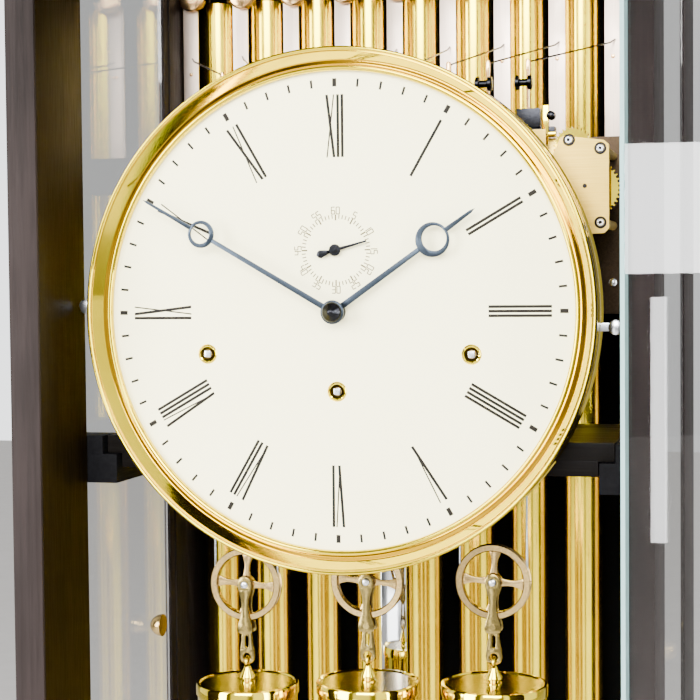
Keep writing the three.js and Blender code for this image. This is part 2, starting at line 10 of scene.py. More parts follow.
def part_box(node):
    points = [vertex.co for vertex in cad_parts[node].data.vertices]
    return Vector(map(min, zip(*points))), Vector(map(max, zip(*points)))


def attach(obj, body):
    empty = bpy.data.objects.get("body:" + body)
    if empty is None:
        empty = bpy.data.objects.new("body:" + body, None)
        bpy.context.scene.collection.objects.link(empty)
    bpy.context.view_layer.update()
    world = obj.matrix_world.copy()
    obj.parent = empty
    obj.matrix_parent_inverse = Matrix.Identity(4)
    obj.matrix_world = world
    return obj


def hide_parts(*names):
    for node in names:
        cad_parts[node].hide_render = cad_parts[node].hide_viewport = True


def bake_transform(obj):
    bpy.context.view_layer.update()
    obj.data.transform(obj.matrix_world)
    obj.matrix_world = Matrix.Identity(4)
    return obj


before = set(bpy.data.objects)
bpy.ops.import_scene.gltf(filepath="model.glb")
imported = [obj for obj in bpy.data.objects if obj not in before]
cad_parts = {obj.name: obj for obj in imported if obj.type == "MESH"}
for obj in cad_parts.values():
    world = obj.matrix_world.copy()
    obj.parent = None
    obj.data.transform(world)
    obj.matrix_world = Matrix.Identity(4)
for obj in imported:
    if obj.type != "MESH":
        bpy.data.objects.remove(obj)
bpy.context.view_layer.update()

MM = 0.001
TURN = 2 * math.pi
SIDES = ("left", "center", "right")
TUBES = range(1, 10)

# Millimetres from the dial's centre: x to the right, y towards the back, z up.
BACK_PLATE_Y = 118
EAR = {"right": 161, "bottom": -4, "top": 112}           # the rear plate's ear behind the chime gears
EAR_BOLT = (156, 16.4)
PILLARS = [(x, z) for x in (-112, 112) for z in (-66, 60)]
SIDE_PLATE_FACE = 48.9
SIDE_PLATE_SCREWS = ((155.8, 99.1), (155.8, 53.5), (136.5, 104.7))
SIDE_PLATE_PIVOT = (146.2, 76.2)
CATCH = {"x": 182, "y": 165, "z": -235}
PENDULUM_SLOT = {"half": 2.4, "bottom": -13, "top": -3}  # where the crutch pin enters the rod
SEAT_SLOT = {"half": 22, "front": 134}                   # where the pendulum passes the seatboard
SPRING_TOP = 64
MIDDLE_TUBE = 5
HAMMER = {"pitch": 40.6, "shift": -19, "y": 239, "pivot": 114, "head": 238, "wire": 192, "rivet": 180}
LIFTER_Y = 112
PEG = {"pitch": 26.6, "shift": -5, "foot": 112, "top": 164, "bobbin": 36.4}
LIFTER_SCREWS = ((117.6, 125.5), (103.5, 114.5), (109, 109))

# ---- Places taken from the frame ----------------------------------------------------


def middle(node):
    low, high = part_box(node)
    return (low + high) / 2


DIAL_LOW, DIAL_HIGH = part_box("dial_plate")
DIAL = Vector((0, DIAL_LOW.y, (DIAL_LOW.z + DIAL_HIGH.z) / 2))
TRACK_SHARE = 140 / 151                                  # minute track against the dial plate
TRACK = (DIAL_HIGH.x - DIAL_LOW.x) / 2 * TRACK_SHARE


def at(x, y, z):
    """A point given in millimetres from the dial's centre."""
    return DIAL + Vector((x, y, z)) * MM


def show(name, data):
    """Puts data into the scene as an object."""
    thing = bpy.data.objects.new(name, data)
    bpy.context.scene.collection.objects.link(thing)
    return thing


# ---- Camera -------------------------------------------------------------------------

CAMERA_OFFSET = Vector((1.964, -7.041, 0.126))           # from the dial, in track radii
CAMERA_HEADING = math.radians(15.13)
CAMERA_PITCH = math.radians(-2.3)
CAMERA_ROLL = math.radians(-0.53)
CAMERA_LENS = 85.8


def make_camera():
    data = bpy.data.cameras.new("camera")
    data.lens = CAMERA_LENS
    data.sensor_width = 36
    data.clip_start = 0.02
    camera = show("camera", data)
    turn = Matrix.Rotation(CAMERA_HEADING, 4, "Z") @ Matrix.Rotation(math.pi / 2 + CAMERA_PITCH, 4, "X")
    place = Matrix.Translation(DIAL + CAMERA_OFFSET * TRACK)
    camera.matrix_world = place @ turn @ Matrix.Rotation(CAMERA_ROLL, 4, "Z")
    bpy.context.scene.camera = camera


# ---- Mesh helpers -------------------------------------------------------------------


def finish_mesh(name, mesh, smooth=40):
    mesh.shade_smooth()
    mesh.set_sharp_from_angle(angle=math.radians(smooth))
    return show(name, mesh)


def from_bmesh(name, shape, smooth=40):
    bmesh.ops.recalc_face_normals(shape, faces=shape.faces)
    mesh = bpy.data.meshes.new(name)
    shape.to_mesh(mesh)
    shape.free()
    return finish_mesh(name, mesh, smooth)


AXES = {
    "X": lambda r, h, c, s: (h, r * c, r * s),
    "Y": lambda r, h, c, s: (r * c, h, r * s),
    "Z": lambda r, h, c, s: (r * c, r * s, h),
}


def add_turned(shape, profile, centre, axis="Z", segments=64):
    """Turns [radius, height] pairs in millimetres about an axis through centre."""
    put = AXES[axis]
    rings = []
    for radius, height in profile:
        if radius < 1e-6:
            rings.append([shape.verts.new(centre + Vector(put(0, height, 1, 0)) * MM)])
            continue
        ring = []
        for step in range(segments):
            angle = TURN * step / segments
            point = Vector(put(radius, height, math.cos(angle), math.sin(angle)))
            ring.append(shape.verts.new(centre + point * MM))
        rings.append(ring)
    closed = len(rings[0]) > 1 and len(rings[-1]) > 1
    pairs = list(zip(rings, rings[1:]))
    if closed:
        pairs.append((rings[-1], rings[0]))
    for first, second in pairs:
        for step in range(segments):
            after = (step + 1) % segments
            if len(first) == 1 and len(second) == 1:
                continue
            if len(first) == 1:
                shape.faces.new((first[0], second[step], second[after]))
            elif len(second) == 1:
                shape.faces.new((first[step], second[0], first[after]))
            else:
                shape.faces.new((first[step], second[step], second[after], first[after]))


def turned(name, profile, centre, axis="Z", segments=64, smooth=40):
    shape = bmesh.new()
    add_turned(shape, profile, centre, axis, segments)
    return from_bmesh(name, shape, smooth)


def add_box(shape, low, high, bevel=0.0, segments=2):
    start = set(shape.verts)
    bmesh.ops.create_cube(shape, size=1)
    fresh = [v for v in shape.verts if v not in start]
    size = high - low
    centre = (low + high) / 2
    for vertex in fresh:
        vertex.co = centre + Vector(a * b for a, b in zip(vertex.co, size))
    if bevel:
        edges = {edge for vertex in fresh for edge in vertex.link_edges}
        bmesh.ops.bevel(shape, geom=list(edges), offset=bevel * MM, segments=segments,
                        affect="EDGES", profile=0.7)


def boxes(name, spans, bevel=0.4):
    """One piece made of bevelled blocks; each span is (low corner, high corner)."""
    shape = bmesh.new()
    for low, high in spans:
        add_box(shape, Vector(low), Vector(high), bevel)
    return from_bmesh(name, shape, 30)


def mesh_from_curve(name, curve):
    holder = show(name, curve)
    graph = bpy.context.evaluated_depsgraph_get()
    mesh = bpy.data.meshes.new_from_object(holder.evaluated_get(graph))
    bpy.data.objects.remove(holder)
    bpy.data.curves.remove(curve)
    return mesh


def flat(name, loops, y0, y1, centre=None, bevel=0.0, turn=0.0, smooth=30):
    """A plate in the dial's plane from closed loops of (x, z) in millimetres; inner loops are holes."""
    curve = bpy.data.curves.new(name, "CURVE")
    curve.dimensions = "2D"
    curve.fill_mode = "BOTH"
    curve.extrude = max((y1 - y0) / 2 - bevel, 1e-4)
    curve.bevel_depth = bevel
    curve.bevel_resolution = 1
    curve.offset = -bevel
    for loop in loops:
        spline = curve.splines.new("POLY")
        spline.points.add(len(loop) - 1)
        for point, (x, z) in zip(spline.points, loop):
            point.co = (x, z, 0, 1)
        spline.use_cyclic_u = True
    mesh = mesh_from_curve(name, curve)
    centre = DIAL if centre is None else centre
    stand = Matrix.Rotation(math.pi / 2, 4, "X")
    spin = Matrix.Rotation(math.radians(turn), 4, "Y")
    depth = Matrix.Translation(Vector((0, (y0 + y1) / 2 * MM, 0)))
    mesh.transform(Matrix.Translation(centre) @ depth @ spin @ Matrix.Scale(MM, 4) @ stand)
    shape = bmesh.new()
    shape.from_mesh(mesh)
    bmesh.ops.remove_doubles(shape, verts=shape.verts, dist=1e-7)
    bpy.data.meshes.remove(mesh)
    return from_bmesh(name, shape, smooth)


def circle(radius, x=0.0, z=0.0, count=64):
    angles = [TURN * i / count for i in range(count)]
    return [(x + radius * math.cos(angle), z + radius * math.sin(angle)) for angle in angles]


def tube_along(name, points, radius, sides=10):
    """A round wire through points, with closed ends."""
    curve = bpy.data.curves.new(name, "CURVE")
    curve.dimensions = "3D"
    curve.bevel_depth = radius * MM
    curve.bevel_resolution = max(1, sides // 4)
    curve.use_fill_caps = True
    spline = curve.splines.new("POLY")
    spline.points.add(len(points) - 1)
    for point, place in zip(spline.points, points):
        point.co = (*place, 1)
    return finish_mesh(name, mesh_from_curve(name, curve))


def join(name, pieces):
    """Joins meshes that share one material and one body into one piece."""
    shape = bmesh.new()
    for piece in pieces:
        shape.from_mesh(piece.data)
    mesh = bpy.data.meshes.new(name)
    shape.to_mesh(mesh)
    shape.free()
    for piece in pieces:
        bpy.data.objects.remove(piece)
    return finish_mesh(name, mesh)


def fit(piece, material, body, slot, *nodes):
    """Gives a piece its material and body, and hides the CAD nodes it stands for; slot is not used."""
    piece.data.materials.clear()
    piece.data.materials.append(material)
    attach(piece, body)
    if nodes:
        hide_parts(*nodes)
    return piece


def coat(node, material):
    """Gives a CAD node that stays a better material."""
    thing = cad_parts[node]
    thing.data.materials.clear()
    thing.data.materials.append(material)


# ---- Materials ----------------------------------------------------------------------


class Nodes:
    """A short way to write a node material around one Principled shader."""

    def __init__(self, name):
        self.material = bpy.data.materials.new(name)
        self.material.use_nodes = True
        self.tree = self.material.node_tree
        self.shader = self.tree.nodes["Principled BSDF"]

    def add(self, kind, **inputs):
        node = self.tree.nodes.new(kind)
        for key, value in inputs.items():
            self.set(node, key.replace("_", " "), value)
        return node

    def set(self, node, key, value):
        if isinstance(value, bpy.types.NodeSocket):
            self.tree.links.new(value, node.inputs[key])
        else:
            node.inputs[key].default_value = value

    def coordinates(self, scale=(1, 1, 1)):
        where = self.tree.nodes.new("ShaderNodeTexCoord")
        mapping = self.add("ShaderNodeMapping", Vector=where.outputs["Object"])
        mapping.inputs["Scale"].default_value = scale
        return mapping.outputs["Vector"]

    def noise(self, scale, vector, detail=4.0, roughness=0.5, distortion=0.0):
        node = self.add("ShaderNodeTexNoise", Scale=scale, Detail=detail, Roughness=roughness,
                        Distortion=distortion, Vector=vector)
        return node.outputs["Fac"]

    def ramp(self, factor, stops):
        node = self.add("ShaderNodeValToRGB", Fac=factor)
        elements = node.color_ramp.elements
        while len(elements) < len(stops):
            elements.new(0.5)
        for element, (place, colour) in zip(elements, stops):
            element.position = place
            element.color = (*colour, 1)
        return node.outputs["Color"]

    def spread(self, factor, low, high):
        node = self.add("ShaderNodeMapRange", Value=factor, From_Min=0.3, From_Max=0.7,
                        To_Min=low, To_Max=high)
        return node.outputs["Result"]

    def bump(self, height, strength, distance):
        node = self.add("ShaderNodeBump", Height=height, Strength=strength, Distance=distance)
        self.set(self.shader, "Normal", node.outputs["Normal"])

    def base(self, **inputs):
        for key, value in inputs.items():
            self.set(self.shader, key.replace("_", " "), value)
        return self.material


def polished_metal(name, colour, dark, roughness=0.05):
    """Lacquered mirror finish with faint polishing marks and handling film."""
    n = Nodes(name)
    film = n.noise(26, n.coordinates(), 5)
    fine = n.noise(900, n.coordinates((1, 1, 0.12)), 3)
    tint = n.ramp(film, [(0.32, dark), (0.62, colour)])
    n.bump(fine, 0.02, 0.0004)
    return n.base(Base_Color=tint, Metallic=1.0, Roughness=n.spread(film, roughness, roughness + 0.05))


def brushed_metal(name, colour, dark, roughness, stretch, strength=0.12):
    """Satin finish whose fine lines run along the axis with the small stretch."""
    n = Nodes(name)
    lines = n.noise(1, n.coordinates(stretch), 4, 0.6)
    cloud = n.noise(40, n.coordinates(), 3)
    tint = n.ramp(lines, [(0.3, dark), (0.7, colour)])
    n.bump(lines, strength, 0.0002)
    return n.base(Base_Color=tint, Metallic=1.0, Roughness=n.spread(cloud, roughness, roughness + 0.12))


def grained_wood(name, light, dark, stretch, roughness=0.42):
    """Stained open-grain timber under a thin satin lacquer."""
    n = Nodes(name)
    figure = n.noise(1, n.coordinates(stretch), 6, 0.62, 0.6)
    pores = n.noise(1, n.coordinates(tuple(4.2 * s for s in stretch)), 2, 0.7)
    cloud = n.noise(7, n.coordinates(), 3)
    grain = n.add("ShaderNodeMath")
    grain.operation = "MULTIPLY_ADD"
    n.tree.links.new(figure, grain.inputs[0])
    grain.inputs[1].default_value = 0.65
    n.tree.links.new(n.spread(cloud, 0.02, 0.3), grain.inputs[2])
    tint = n.ramp(grain.outputs["Value"], [(0.28, dark), (0.62, light)])
    n.bump(pores, 0.25, 0.0003)
    return n.base(Base_Color=tint, Roughness=n.spread(pores, roughness, roughness + 0.2),
                  Specular_IOR_Level=0.04)


def painted(name, colour, other, roughness, grain=0.03, shine=0.1):
    n = Nodes(name)
    cloud = n.noise(9, n.coordinates(), 3)
    fine = n.noise(1500, n.coordinates(), 2)
    tint = n.ramp(cloud, [(0.3, other), (0.7, colour)])
    n.bump(fine, grain, 0.0002)
    return n.base(Base_Color=tint, Roughness=n.spread(cloud, roughness, roughness + 0.08),
                  Specular_IOR_Level=shine)


def clear_glass(name, tint):
    n = Nodes(name)
    smear = n.noise(6, n.coordinates((1, 1, 0.4)), 4)
    return n.base(Base_Color=(*tint, 1), Roughness=n.spread(smear, 0.0, 0.02),
                  Transmission_Weight=1.0, IOR=1.45)


def ground_glass(name, tint):
    n = Nodes(name)
    grit = n.noise(700, n.coordinates((1, 1, 0.1)), 3)
    n.bump(grit, 0.1, 0.0003)
    shade = n.ramp(grit, [(0.3, tuple(0.85 * c for c in tint)), (0.7, tint)])
    return n.base(Base_Color=shade, Roughness=n.spread(grit, 0.3, 0.5))


EVEN_GRAIN = (900, 900, 900)                             # a satin finish with no direction

BRASS = polished_metal("polished_brass", (0.92, 0.70, 0.04), (0.82, 0.60, 0.02), 0.04)
TUBE_BRASS = polished_metal("tube_brass", (0.95, 0.72, 0.03), (0.85, 0.62, 0.015), 0.17)
BEZEL = polished_metal("bezel_brass", (0.74, 0.55, 0.010), (0.66, 0.48, 0.006), 0.03)
CAP_BRASS = polished_metal("weight_cap_brass", (0.26, 0.17, 0.012), (0.18, 0.12, 0.008), 0.16)
# Painted shade: the rear plate's ear is the same brass as the plate, coloured dark brown for the shade it
# stands in.
SHADED_EAR_BRASS = brushed_metal("ear_brass_painted_shade", (0.040, 0.027, 0.016), (0.024, 0.016, 0.010), 0.35, EVEN_GRAIN, 0.05)
ROSE = brushed_metal("satin_rose_brass", (0.52, 0.36, 0.14), (0.34, 0.23, 0.08), 0.16, EVEN_GRAIN, 0.05)
OLIVE = brushed_metal("strap_brass", (0.32, 0.24, 0.08), (0.20, 0.15, 0.04), 0.14, EVEN_GRAIN, 0.04)
PLATE = brushed_metal("plate_brass", (0.52, 0.36, 0.07), (0.42, 0.28, 0.04), 0.30, (25, 900, 1400))
HEAD = polished_metal("hammer_head_brass", (0.92, 0.60, 0.28), (0.82, 0.48, 0.18), 0.16)
ALUMINIUM = brushed_metal("brushed_aluminium", (0.92, 0.74, 0.60), (0.76, 0.60, 0.48), 0.34,
                          (1500, 1500, 22), 0.08)
STEEL = brushed_metal("bright_steel", (0.74, 0.76, 0.79), (0.56, 0.58, 0.61), 0.2, EVEN_GRAIN, 0.05)
MIRROR = polished_metal("mirror_steel", (0.86, 0.87, 0.89), (0.78, 0.79, 0.81), 0.02)
BLUED = brushed_metal("blued_steel", (0.032, 0.042, 0.055), (0.021, 0.027, 0.036), 0.3, EVEN_GRAIN, 0.06)
BLACK_STEEL = brushed_metal("black_steel", (0.020, 0.021, 0.024), (0.010, 0.010, 0.012), 0.18,
                            (700, 700, 700), 0.05)
WOOD = grained_wood("upright_wood", (0.0165, 0.0120, 0.0112), (0.0060, 0.0043, 0.0038), (230, 230, 9))
# Painted shade: a darker, warmer copy of the stile wood for the stiles' inner faces, which lie in shade.
SHADED_INNER_WOOD = grained_wood("inner_wood_painted_shade", (0.0070, 0.0040, 0.0006), (0.0016, 0.0009, 0.0001), (230, 230, 9), 0.35)
RAIL_WOOD = grained_wood("rail_wood", (0.0060, 0.0060, 0.0070), (0.0024, 0.0024, 0.0030), (230, 9, 230))
BOARD = grained_wood("board_wood", (0.0155, 0.0115, 0.0108), (0.0055, 0.0040, 0.0036), (9, 230, 230))
SEAT = grained_wood("seat_wood", (0.0075, 0.0066, 0.0058), (0.0030, 0.0022, 0.0022), (9, 230, 230), 0.3)
CREAM = painted("dial_cream", (0.95, 0.90, 0.56), (0.93, 0.875, 0.53), 0.5)
PRINT = painted("dial_print", (0.010, 0.008, 0.005), (0.007, 0.006, 0.004), 0.5)
FINE_PRINT = painted("dial_fine_print", (0.085, 0.062, 0.022), (0.065, 0.048, 0.016), 0.5)
BLACK = painted("black_lacquer", (0.0012, 0.0012, 0.0012), (0.0007, 0.0007, 0.0007), 0.6, 0.03, 0.05)
GLASS = clear_glass("clear_glass", (0.985, 0.995, 0.99))
EDGE = ground_glass("ground_glass_edge", (0.22, 0.38, 0.37))
LEATHER = painted("hammer_leather", (0.20, 0.11, 0.05), (0.14, 0.08, 0.03), 0.8, 0.3)

# ---- Case ---------------------------------------------------------------------------


def mirrored(low, high):
    """The span and its twin on the other side of the case."""
    return [(low, high), ((-high[0], low[1], low[2]), (-low[0], high[1], high[2]))]


def make_case():
    low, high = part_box("case_carcass")
    panel_low, panel_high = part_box("back_panel")
    glass_low, glass_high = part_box("side_glass_right")
    outer = high.x - 0.5 * MM
    stile_front = low.y + 10 * MM
    stile_back = glass_low.y - 0.3 * MM
    inner = high.x - 20 * MM
    floor = panel_low.z - 0.3 * MM
    ceiling = panel_high.z + 0.3 * MM
    ply = 1.2 * MM

    stiles = boxes("case_stiles", mirrored((inner, stile_front, floor), (outer, stile_back, ceiling)), 1.0)
    fit(stiles, WOOD, "case", "dark_wood", "case_carcass")
    # Painted shade: a thin sheet of the darker wood laid over each stile's inner face stands in for the shade
    # on that face.
    inner_shade_sheets = mirrored((inner - ply / 4, stile_front + 2 * MM, floor),
                      (inner + ply, stile_back - 1 * MM, ceiling))
    fit(boxes("stile_inner_shade_sheets", inner_shade_sheets, 0.1), SHADED_INNER_WOOD, "case", "dark_wood")

    board_front = glass_high.y + 0.3 * MM
    rears = mirrored((panel_high.x + 0.3 * MM, board_front, floor), (outer, high.y - 0.5 * MM, ceiling))
    fit(boxes("rear_boards", rears, 0.8), WOOD, "case", "dark_wood")
    groove = mirrored((panel_high.x - 0.9 * MM, board_front + 9 * MM, floor),
                      (panel_high.x + 1 * MM, stile_back + 212 * MM, ceiling))
    fit(boxes("rear_beads", groove, 0.4), WOOD, "case", "dark_wood")

    spans = [((-high.x, low.y, 0), (high.x, high.y, floor)),
             ((-high.x, low.y, ceiling), (high.x, high.y, high.z))]
    fit(boxes("plinth_and_cap", spans, 2.0), BOARD, "case", "dark_wood")

    seat_low, seat_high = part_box("seatboard")
    rail_in = seat_high.x - 8.8 * MM
    rail_out = glass_low.x - 0.3 * MM
    rail_top = seat_high.z - 12 * MM
    rail_low = rail_top - 19 * MM
    rails = mirrored((rail_in, stile_back, rail_low), (rail_out, board_front + 20 * MM, rail_top))
    rails += mirrored((seat_high.x + 1 * MM, stile_back, rail_top - 1 * MM),
                      (rail_out, stile_back + 25 * MM, rail_top + 12 * MM))
    fit(boxes("seat_rails", rails, 0.8), RAIL_WOOD, "case", "dark_wood")

    lip = seat_high.z - 11.7 * MM
    under = seat_high.x - 10 * MM
    slot = SEAT_SLOT["half"] * MM
    slot_front = at(0, SEAT_SLOT["front"], 0).y
    seat_spans = [
        ((-seat_high.x, seat_low.y, lip), (seat_high.x, slot_front, seat_high.z)),
        ((-seat_high.x, slot_front - 1 * MM, lip), (-slot, seat_high.y, seat_high.z)),
        ((slot, slot_front - 1 * MM, lip), (seat_high.x, seat_high.y, seat_high.z)),
        ((-under, seat_low.y, seat_low.z), (under, slot_front, lip + 1 * MM)),
        ((-under, slot_front - 1 * MM, seat_low.z), (-slot, seat_high.y, lip + 1 * MM)),
        ((slot, slot_front - 1 * MM, seat_low.z), (under, seat_high.y, lip + 1 * MM)),
    ]
    fit(boxes("seat_board", seat_spans, 0.6), SEAT, "case", "dark_wood", "seatboard")

    coat("back_panel", BLACK)
    coat("side_glass_left", GLASS)
    coat("side_glass_right", GLASS)

    shape = bmesh.new()
    for side in (-1, 1):
        dome = [(0, 0), (8.2, 0), (8.2, 1.4), (7.4, 4.4), (5.4, 7.4), (2.8, 9.2), (0, 9.6)]
        place = at(side * CATCH["x"], CATCH["y"], CATCH["z"])
        add_turned(shape, [(r, side * h) for r, h in dome], place, "X", 40)
    fit(from_bmesh("side_glass_catches", shape), ROSE, "case", "satin_brass")


def make_door():
    coat("door_glass", GLASS)
    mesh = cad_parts["door_glass"].data
    corners = [Vector(spot) for spot in {tuple(round(c, 6) for c in v.co) for v in mesh.vertices}]
    low_z = min(c.z for c in corners)
    high_z = max(c.z for c in corners)
    near = sorted(corners, key=lambda c: tuple(c))
    hinge = sum(near[:4], Vector()) / 4
    free = sum(near[-4:], Vector()) / 4
    along = (free - hinge).normalized()
    across = Vector((-along.y, along.x, 0))
    half = 2.62 * MM
    width = 3.0 * MM
    shape = bmesh.new()
    proud = along * 0.1 * MM
    for start, end in ((hinge - proud, hinge + along * width), (free - along * width, free + proud)):
        foot = []
        for point, side in ((start, 1), (end, 1), (end, -1), (start, -1)):
            foot.append(point + across * half * side)
        bottom = [shape.verts.new((p.x, p.y, low_z)) for p in foot]
        top = [shape.verts.new((p.x, p.y, high_z)) for p in foot]
        shape.faces.new(bottom)
        shape.faces.new(top)
        for i in range(4):
            shape.faces.new((bottom[i], bottom[(i + 1) % 4], top[(i + 1) % 4], top[i]))
    fit(from_bmesh("door_ground_edges", shape), EDGE, "door", "clear_glass")

    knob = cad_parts["door_knob"].data
    centre = sum((v.co for v in knob.vertices), Vector()) / len(knob.vertices)
    outward = across if across.dot(centre - (hinge + free) / 2) > 0 else -across
    base = centre - outward * (centre - hinge).dot(outward) + outward * (half + 0.2 * MM)
    pull = [(0, 0), (5, 0), (4.4, 5), (6, 8), (10, 11), (11.6, 14.6), (10, 18), (5, 20), (0, 20.4)]
    turned_knob = turned("door_pull", pull, Vector(), "Y", 48)
    turned_knob.data.transform(outward.to_track_quat("Y", "Z").to_matrix().to_4x4())
    turned_knob.data.transform(Matrix.Translation(base))
    fit(turned_knob, ROSE, "door", "satin_brass", "door_knob")

    shape = bmesh.new()
    for z, direction in ((low_z, -1), (high_z, 1)):
        add_turned(shape, [(0, 0), (3, 0), (3, 2.6 * direction), (0, 2.6 * direction)],
                   Vector((hinge.x, hinge.y, z)) + along * 2 * MM, "Z", 24)
    fit(from_bmesh("door_pivots", shape), STEEL, "door", "bright_steel")


# ---- Dial ---------------------------------------------------------------------------

ROMAN = ("XII", "I", "II", "III", "IIII", "V", "VI", "VII", "VIII", "IX", "X", "XI")
R_MM = TRACK / MM
NUMERAL_FOOT = 0.675 * R_MM
NUMERAL_HEAD = 0.948 * R_MM
THICK = 0.0125 * R_MM
THIN = 0.0060 * R_MM
LEAN = 0.016 * R_MM                                      # half the spread of a slanted stroke
GLYPH_WIDTH = {"I": 0.0195 * R_MM, "V": 0.0405 * R_MM, "X": 0.0485 * R_MM}


def stroke(x0, x1, width):
    """A stroke from the numeral's foot at x0 to its head at x1."""
    return [(x0 - width / 2, NUMERAL_FOOT), (x0 + width / 2, NUMERAL_FOOT),
            (x1 + width / 2, NUMERAL_HEAD), (x1 - width / 2, NUMERAL_HEAD)]


def bar(width, inner, outer):
    """A short upright mark between two radii."""
    return [(-width / 2, inner), (width / 2, inner), (width / 2, outer), (-width / 2, outer)]


def roman(text):
    """Heavy and light strokes of one numeral, standing upright over the dial's centre."""
    x = -sum(GLYPH_WIDTH[c] for c in text) / 2
    heavy = []
    light = []
    for glyph in text:
        mid = x + GLYPH_WIDTH[glyph] / 2
        if glyph == "I":
            heavy.append(stroke(mid, mid, THICK))
        elif glyph == "V":
            heavy.append(stroke(mid + THIN / 2, mid - LEAN, THICK))
            light.append(stroke(mid, mid + LEAN, THIN))
        else:
            heavy.append(stroke(mid + LEAN, mid - LEAN, THICK))
            light.append(stroke(mid - LEAN, mid + LEAN, THIN))
        x += GLYPH_WIDTH[glyph]
    return heavy, light


def spun(loop, degrees):
    """Turns (x, z) points clockwise about the dial's centre."""
    c = math.cos(math.radians(degrees))
    s = math.sin(math.radians(degrees))
    return [(x * c + z * s, -x * s + z * c) for x, z in loop]


def printed(name, loops, lift, material):
    """A layer of ink: each loop is its own thin raised shape."""
    shape = bmesh.new()
    for loop in loops:
        front = [shape.verts.new(at(x, -lift, z)) for x, z in loop]
        back = [shape.verts.new(at(x, -0.01, z)) for x, z in loop]
        shape.faces.new(front)
        shape.faces.new(back[::-1])
        for i in range(len(loop)):
            after = (i + 1) % len(loop)
            shape.faces.new((front[i], back[i], back[after], front[after]))
    return fit(from_bmesh(name, shape), material, "case", "dial_enamel")


DIGIT_SEGMENTS = {
    "0": "abcdef", "1": "bc", "2": "abged", "3": "abgcd", "4": "fgbc",
    "5": "afgcd", "6": "afgedc", "7": "abc", "8": "abcdefg", "9": "gfabcd",
}


def digit(character, x, base, height):
    """A small figure drawn with up to seven straight strokes, twice as high as it is wide."""
    w = height * 0.5
    h = height
    half_pen = height * 0.13 / 2
    line = {
        "a": (0, h, w, h), "b": (w, h, w, h / 2), "c": (w, h / 2, w, 0), "d": (0, 0, w, 0),
        "e": (0, h / 2, 0, 0), "f": (0, h, 0, h / 2), "g": (0, h / 2, w, h / 2),
    }
    loops = []
    for segment in DIGIT_SEGMENTS[character]:
        x0, z0, x1, z1 = line[segment]
        wide, tall = (half_pen, 0) if x0 == x1 else (0, half_pen)
        left = x + x0 - wide
        right = x + x1 + wide
        foot = base + min(z0, z1) - tall
        head = base + max(z0, z1) + tall
        loops.append([(left, foot), (right, foot), (right, head), (left, head)])
    return loops


def make_dial():
    coat("dial_plate", CREAM)
    ticks = []
    for minute in range(60):
        width = (0.019 if minute % 5 == 0 else 0.0105) * R_MM
        ticks.append(spun(bar(width, 0.982 * R_MM, 1.018 * R_MM), minute * 6))
    printed("minute_track", ticks, 0.06, PRINT)

    strokes = []
    hairlines = []
    for hour, text in enumerate(ROMAN):
        heavy, light = roman(text)
        strokes += [spun(loop, hour * 30) for loop in heavy]
        hairlines += [spun(loop, hour * 30) for loop in light]
    printed("numeral_strokes", strokes, 0.06, PRINT)
    printed("numeral_hairlines", hairlines, 0.05, PRINT)

    centre_z = 0.27 * R_MM
    marks = []
    for second in range(60):
        long = second % 5 == 0
        width = (0.0062 if long else 0.0044) * R_MM
        inner = (0.130 if long else 0.138) * R_MM
        tick = spun(bar(width, inner, 0.156 * R_MM), second * 6)
        marks.append([(x, z + centre_z) for x, z in tick])
    height = 0.030 * R_MM
    for label in range(5, 65, 5):
        text = str(label)
        span = len(text) * height * 0.72 - height * 0.22
        angle = label * 6
        upside_down = 90 < angle % 360 < 270
        for place, character in enumerate(text):
            loops = digit(character, -span / 2 + place * height * 0.72, -height / 2, height)
            for loop in loops:
                if upside_down:
                    loop = [(-x, -z) for x, z in loop]
                out = [(x, z + 0.173 * R_MM) for x, z in loop]
                marks.append([(x, z + centre_z) for x, z in spun(out, angle)])
    printed("seconds_track", marks, 0.05, FINE_PRINT)

    shape = bmesh.new()
    eyelet = [(4.5, 1.5), (4.5, -0.5), (5.1, -0.8), (6.0, -0.35), (6.2, 0), (6.2, 0.1)]
    for side in SIDES:
        spot = middle("winding_drum_" + side)
        add_turned(shape, eyelet, Vector((spot.x, DIAL.y, spot.z)), "Y", 48)
    fit(from_bmesh("winding_hole_rings", shape), BRASS, "case", "polished_brass")


def make_bezel():
    profile = [
        (147.0, -0.3), (146.8, -2.4), (147.2, -3.8), (148.2, -4.5), (149.4, -4.4), (150.2, -3.6),
        (150.6, -2.4), (151.0, -2.0), (157.4, -10.3), (157.7, -10.0), (158.1, -10.0), (158.4, -10.9),
        (159.0, -11.6), (159.8, -11.8), (160.5, -11.3), (160.7, -10.4), (160.7, -4.0), (160.1, -3.2),
        (160.1, 18.6), (160.7, 19.2), (160.7, 20.6), (160.2, 21.0), (157.0, 21.0), (157.0, -0.3),
    ]
    fit(turned("bezel_ring", profile, DIAL, "Y", 256, 50), BEZEL, "case", "polished_brass", "dial_bezel")


def ring_hand(name, turn, length, ring, outer, hole, shift, root, waist, tip, y0, y1, boss):
    """A pierced hand: tapering shaft, crescent ring and a pointed tip, pointing up before it is turned."""
    below = ring - outer + 0.6
    above = ring + outer - 0.8
    shaft = [(-root / 2, 0), (root / 2, 0), (waist / 2, below), (-waist / 2, below)]
    shoulder = length - 3
    point = [(-waist / 2, above), (waist / 2, above), (tip / 2, shoulder), (0, length), (-tip / 2, shoulder)]
    rings = [circle(outer, 0, ring, 72), circle(hole, 0, ring + shift, 64)]
    front = y0 - 1.0
    hub = [(2.5, y1), (boss - 0.4, y1), (boss, y1 - 0.3), (boss, y0 - 0.6),
           (boss - 0.5, front), (2.5, front)]
    parts = [
        flat(name + "_shaft", [shaft], y0, y1, bevel=0.15, turn=turn),
        flat(name + "_ring", rings, y0, y1, bevel=0.18, turn=turn),
        flat(name + "_point", [point], y0, y1, bevel=0.15, turn=turn),
        turned(name + "_boss", hub, DIAL, "Y", 48),
    ]
    return join(name, parts)


